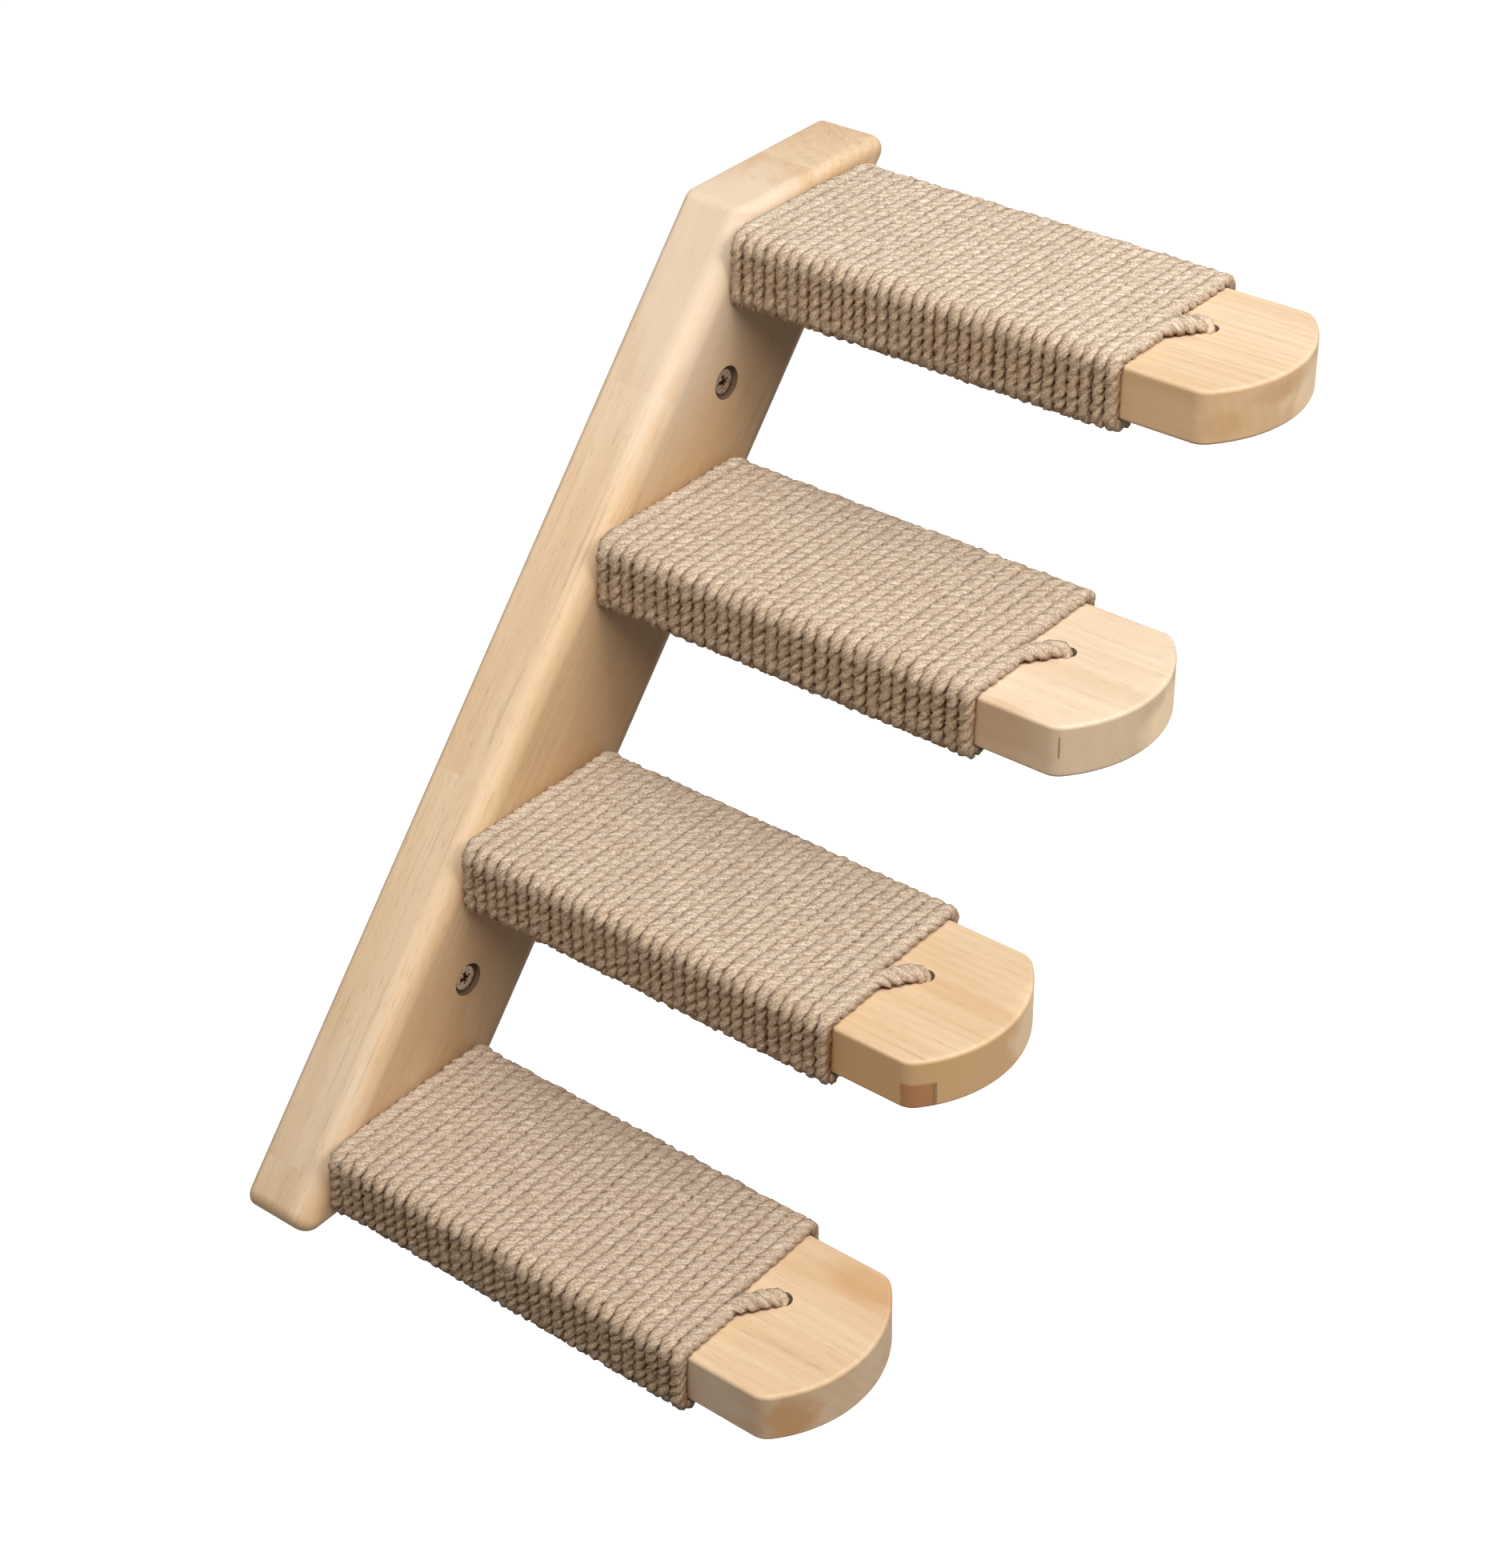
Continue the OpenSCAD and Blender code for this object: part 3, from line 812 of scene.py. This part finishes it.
def rope_surface(step, route, outward, wound, rng):
    """Places on the surface of three twisted strands, in a ring for each place of their route.

    The turns press one another flat. The second result holds what the rope's material reads.
    """
    angle, radius = rope_section()
    n, m = len(route), len(angle)
    half_pitch = 0.5*(STEP_LENGTH - BARE_TIP)/ROPE_TURNS[step]
    ahead = unit(np.gradient(route, axis=0))
    out = unit(outward - (outward*ahead).sum(1, keepdims=True)*ahead)
    across = np.cross(ahead, out)
    lay = 2*math.pi*length_along(route)/ROPE_LAY + LAY_DRIFT*smooth_noise(rng, n, RINGS["drift"])
    lay = lay + LAY_JITTER*smooth_noise(rng, n, RINGS["jitter"])
    turned = angle[None] + lay[:, None]
    to_out, to_side = np.cos(turned), np.sin(turned)
    on_top = share_on_top(out)
    square = SQUARE_BESIDE + (SQUARE_ON_TOP[step] - SQUARE_BESIDE)*on_top
    pressed = (np.abs(to_out)**square + np.abs(to_side)**square)**(-1/square)
    varies = WIDTH_VARIES*smooth_noise(rng, n, RINGS["width"])[:, None]*(1 - on_top)
    wide = half_pitch/ROPE_R*(1.0 + WIDER_ON_TOP*on_top + varies)
    tail = np.arange(n - wound)/(n - wound - 1)
    swell = np.minimum(TAIL_SWELLS*tail, np.minimum(1, 2 - TAIL_THINS*tail))
    pressed[wound:] = 1 + (TAIL_FULLER - 1)*swell[:, None]
    wide[wound:] = 1
    lumps = [smooth_noise(rng, n, RINGS["lumps"]) for k in range(STRANDS)]
    lumps = np.repeat(lumps, STRAND_POINTS, axis=0).T
    pressed = pressed*(1 + LUMPS*lumps + ROUGHNESS*rng.standard_normal((n, m)))
    worn = STRANDS_WORN + STRANDS_WORN_BESIDE*(1 - on_top)
    worn[wound:] = 0
    round_r = radius[None] + worn*(radius.mean() - radius[None])
    points = route[:, None] + (round_r*pressed)[..., None]*(
        to_out[..., None]*out[:, None] + (wide*to_side)[..., None]*across[:, None]
    )
    aside = points[:wound, :, 1] - route[:wound, None, 1]
    points[:wound, :, 1] = route[:wound, None, 1] + np.clip(aside, -half_pitch, half_pitch)
    height = to_out*radius[None]/ROPE_R
    # Painted shade: darker low in the gaps between turns, a little everywhere beside the step, and on the
    # tail's underside.
    dark = GAP_DARK + GAP_UNEVEN*smooth_noise(rng, n, RINGS["gap"])[:, None]
    gap = np.clip((GAP_BEGINS - height)/GAP_DEEPENS, 0, 1)*(1 - GAP_HIDDEN_ON_TOP*on_top)*dark
    gap = gap + GAP_SHADE_BESIDE*(1 - on_top)
    gap[wound:] = np.clip(-height[wound:], 0, 1)
    # Painted shade in the grooves between strands.
    groove_shade = 1 - (radius - radius.min())/(radius.max() - radius.min())
    return points, {
        "gap": gap, "groove_shade": groove_shade*(1 - GROOVE_WORN*worn), "side": np.tile(1 - on_top, (1, m)),
    }


def map_strands(mesh, along, m):
    """Lays the rope's surface out in metres: along the rope, and round its m points."""
    ring = np.arange(m)
    u = np.stack([along[:-1], along[:-1], along[1:], along[1:]], -1)[:, None]
    v = np.stack([ring, ring + 1, ring + 1, ring], -1)*(2*math.pi*ROPE_R/m)
    sides = np.stack(np.broadcast_arrays(u, v[None]), -1).reshape(-1, 2)
    uv = np.concatenate([np.zeros((2*m, 2)), sides])
    layer = mesh.uv_layers.new(name="strand")
    layer.uv.foreach_set("vector", uv.astype(np.float32).ravel())


def add_rope(step, material):
    """The rope wound round one step, with its own random changes."""
    rng = np.random.default_rng(ROPE_SEED + step)
    route, outward, wound = rope_route(step, rng)
    points, read_by_material = rope_surface(step, route, outward, wound, rng)
    mesh = skin(f"rope_{step}", points, smooth_caps=True)
    for key, values in read_by_material.items():
        layer = mesh.attributes.new(key, "FLOAT", "POINT")
        layer.data.foreach_set("value", values.astype(np.float32).ravel())
    map_strands(mesh, length_along(route), points.shape[1])
    mesh.materials.append(material)
    piece = linked(f"rope_{step}", mesh)
    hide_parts(f"rope_winding_{step}")
    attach(piece, "root")


def add_camera():
    data = bpy.data.cameras.new("photo_camera")
    data.sensor_width = CAMERA_SENSOR
    data.lens = CAMERA_FOCAL_PIXELS/PHOTO_HEIGHT*CAMERA_SENSOR
    data.clip_start = CAMERA_NEAR
    level = math.cos(CAMERA_ELEVATION)
    back = Vector((
        math.sin(CAMERA_AZIMUTH)*level, -math.cos(CAMERA_AZIMUTH)*level, math.sin(CAMERA_ELEVATION),
    ))
    camera = linked("photo_camera", data)
    camera.rotation_mode = "QUATERNION"
    camera.rotation_quaternion = (-back).to_track_quat("-Z", "Y") @ Quaternion((0, 0, 1), CAMERA_ROLL)
    camera.location = CAMERA_PLACE
    bpy.context.scene.camera = camera


def add_lamps():
    for name, place, power in LAMPS:
        data = bpy.data.lights.new(name, "AREA")
        data.shape = "DISK"
        data.size = LAMP_WIDTH
        data.energy = power
        lamp = linked(name, data)
        lamp.location = place
        lamp.rotation_mode = "QUATERNION"
        lamp.rotation_quaternion = (LAMP_AIM - Vector(place)).to_track_quat("-Z", "Y")


def camera_sees(n):
    """1 for rays that see a thing straight, in a mirror or through glass, and 0 for the rest."""
    path = n.add("LightPath")
    seen = n.math("MAXIMUM", path["Is Camera Ray"], path["Is Glossy Ray"])
    return n.math("MAXIMUM", seen, path["Is Transmission Ray"])


def set_world():
    """White where it is seen. It lights the object softly from behind and not from the front."""
    world = bpy.data.worlds.new("studio")
    bpy.context.scene.world = world
    n = Nodes(world, "Background")
    way = n.split(n.add("TexCoord")["Generated"])
    sky = n.mix(n.ramp(way["Y"], *SKY_GROWS, kind="LINEAR"), SKY_FRONT, SKY_BEHIND)
    n.finish({"Color": n.mix(camera_sees(n), sky, WHITE)})


def add_floor():
    """A pale floor far below, which throws little light back up at the object."""
    low = cad_box[0]
    corners = [
        (x*FLOOR_HALF, y*FLOOR_HALF, low.z - FLOOR_DROP)
        for x, y in ((-1, -1), (1, -1), (1, 1), (-1, 1))
    ]
    mesh = bpy.data.meshes.new("floor")
    mesh.from_pydata(corners, [], [(0, 1, 2, 3)])
    n = Nodes(bpy.data.materials.new("floor"))
    seen = camera_sees(n)
    mesh.materials.append(n.finish({
        "Base Color": n.mix(seen, FLOOR_UNSEEN, FLOOR_SEEN), "Roughness": 0.9,
        "Emission Color": WHITE, "Emission Strength": n.math("MULTIPLY", seen, FLOOR_GLOW),
    }))
    floor = linked("floor", mesh)


def marks_from(origin, rows):
    """Marks in metres, from rows whose places are in mm from an origin and whose radii are in mm."""
    return [
        (bounded, [o + p*MM for o, p in zip(origin, place)], [r*MM for r in radii], tint, strength)
        for bounded, place, radii, tint, strength in rows
    ]


# The board's marks, from its middle at the wall: to the right, up its slant, and off the wall.
BOARD_MARKS = (
    (spot, (-34, 150, 22), (40, 85, 40), CREAM, 0.55),
    (spot, (20, -70, 30), (34, 130, 14), ORANGE, 0.32),
    (spot, (12, 60, 30), (20, 60, 12), ORANGE, 0.18),
    (spot, (24, 190, 12), (26, 14, 30), ORANGE, 0.12),
    (spot, (-34, -180, 14), (10, 40, 30), CREAM, 0.25),
    (spot, (0, -190, 30), (40, 40, 14), ORANGE, 0.22),
    (spot, (-35, -30, 12), (6, 200, 30), BRIGHT_GRAIN_AND_LIGHT, 0.18),
    (spot, (4, -10, 30), (26, 200, 10), ORANGE, 0.30),
    (spot, (-10, 125, 30), (18, 50, 10), TAN, 0.35),
    (spot, (-10, -113, 30), (18, 50, 10), ORANGE, 0.30),
)
BOARD_LOOK = {
    "ring": (210, 60), "tone": (TAN, 0.0), "side_shade": 0.50,
    "turns": ((0, -LEAN, 0), (-math.pi/2, 0, 0)), "glued": True, "pores": 0.32, "streaks": (0.56, 0.55),
}

# The planks' marks, from the middle of each tip's end: to the right, back from it, and up. The bright spots
# on the right-hand parts of the arcs of steps 2, 3 and 4 are painted light.
TIP_MARKS = {
    1: (
        (spot, (-35, 34, 0), (6, 18, 12), CREAM, 0.35),
        (spot, (26, 18, 10), (9, 20, 4), ORANGE, 0.6),
        (spot, (22, 6, -4), (13, 10, 10), ORANGE, 0.5),
        (spot, (-27, 9, -2), (12, 8, 12), ORANGE, 0.9),
    ),
    2: (
        (inlay, (-32.6, 12.8, -5.2), (4.6, 5.2, 5.6), KNOT, 0.85),
        (inlay, (-28.0, 8.6, -5.2), (0.6, 3.0, 5.4), DARK, 0.8),
        (spot, (2, 22, 10), (6, 30, 2), TAN, 0.5),
        # Painted light on the right-hand part of the arc.
        (spot, (16, 2, 0), (18, 8, 12), BRIGHT_GRAIN_AND_LIGHT, 0.6),
    ),
    3: (
        (spot, (-35, 36, 0), (6, 16, 12), ORANGE, 0.4),
        # Painted light on the right-hand part of the arc.
        (spot, (14, 1, -3), (22, 8, 12), BRIGHT_GRAIN_AND_LIGHT, 1.0),
        (inlay, (-33.8, 13.5, 2), (0.4, 1.0, 4.2), DARK, 0.8),
    ),
    4: (
        (spot, (-35, 34, -2), (6, 20, 12), BRIGHT_GRAIN_AND_LIGHT, 0.1),
        # Painted light on the right-hand part of the arc.
        (spot, (12, 0, -3), (20, 8, 12), BRIGHT_GRAIN_AND_LIGHT, 0.7),
        (spot, (24, 6, 0), (4, 8, 12), TAN, 0.6),
        (spot, (-8, 2, 4), (18, 6, 4), ORANGE, 0.4),
        (spot, (-28, 12, -3), (8, 8, 7), ORANGE, 0.45),
    ),
}
PLANK_LOOKS = {
    1: {"ring": (180, 150), "tone": (TAN, 0.28), "side_shade": 0.0},
    2: {"ring": (230, 40), "tone": (TAN, 0.15), "side_shade": 1.0},
    3: {"ring": (150, 10), "tone": (CREAM, 0.42), "side_shade": 0.30},
    4: {"ring": (260, 70), "tone": (TAN, 0.0), "side_shade": 0.6},
}

bpy.context.scene.view_settings.view_transform = "Standard"
add_camera()
add_lamps()
set_world()
add_floor()

hole_wall = hole_painted_shade()
board_marks = marks_from((0, 0, 0), BOARD_MARKS)
add_board(wood("board_wood", 1, board_marks, **BOARD_LOOK), hole_wall)
for step in STEPS:
    low, high = STEP_BOXES[step]
    tip = ((low.x + high.x)/2, low.y, (low.z + high.z)/2)
    tip_marks = marks_from(tip, TIP_MARKS[step])
    add_plank(step, wood(f"plank_wood_{step}", step + 1, tip_marks, **PLANK_LOOKS[step]), hole_wall)
# Each step's rope is the same jute with its own painted light and shade on top.
for step in STEPS:
    add_rope(step, rope_material(f"jute_rope_{step}", ROPE_TOP_LIGHT_AND_SHADE[step]))
steel = metal("screw_steel", STEEL, roughness=0.30)
zinc = metal("yellow_zinc", ZINC, roughness=0.35)
for node in WALL_SCREWS:
    add_wall_screw(node, steel)
for step in STEPS:
    for side in ("left", "right"):
        dress(f"step_screw_{step}_{side}", zinc)
